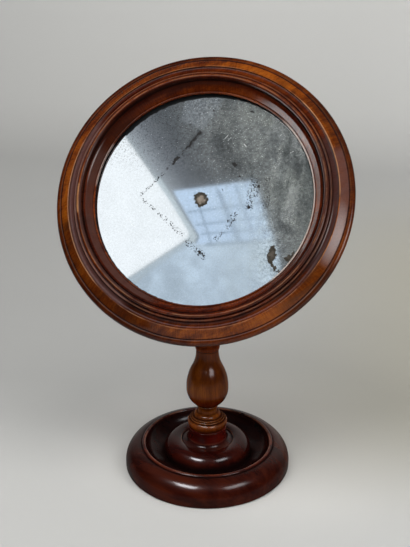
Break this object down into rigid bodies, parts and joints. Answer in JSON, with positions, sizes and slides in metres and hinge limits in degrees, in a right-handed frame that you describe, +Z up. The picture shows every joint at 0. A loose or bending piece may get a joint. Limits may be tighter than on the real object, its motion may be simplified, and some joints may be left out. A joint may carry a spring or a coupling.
{
  "type": "table mirror",
  "caption": "Round looking-glass in a turned, moulded wooden frame that tilts on a column, which swivels in a baluster stem on a dished round base.",
  "frame": {"origin": "centre of the base's underside, on the axis of the stem, on the table", "axes": "+Z up along the stem, the mirror faces -Y, +X along the tilt axis"},
  "size_m": [0.2424, 0.1657, 0.3626],
  "materials": {
    "red_mahogany": "old polish, glossy",
    "dark_mahogany": "old polish, glossy",
    "honey_mahogany": "old polish, glossy",
    "deal": "bare softwood, darkened with age",
    "looking_glass": "old silvering with spots",
    "backing_paper": "plain brown paper",
    "baize": "green baize",
    "steel": "dull",
    "brass": "tarnished",
    "leather": "dark, worn"
  },
  "bodies": {
    "stand": {"base": "dark_mahogany", "base_pad": "baize", "stem": "honey_mahogany", "stem_screw": "steel", "stem_washer": "brass", "swivel_washer": "leather"},
    "upright": {"column": "red_mahogany"},
    "head": {"frame": "red_mahogany", "glass": "looking_glass", "backing_paper": "backing_paper", "backboard": "deal", "board_screws": "brass", "yoke": "red_mahogany", "yoke_screws": "brass", "pivot_bolt": "brass", "pivot_nut": "brass", "pivot_washers": "brass", "friction_washers": "leather"}
  },
  "joints": [
    {"name": "swivel", "type": "hinge", "parent": "stand", "child": "upright", "pos_m": [0, 0, 0.1152], "axis": [0, 0, 1], "continuous": true},
    {"name": "tilt", "type": "hinge", "parent": "upright", "child": "head", "pos_m": [0, 0, 0.2452], "axis": [-1, 0, 0], "range_deg": [-32, 57]}
  ]
}
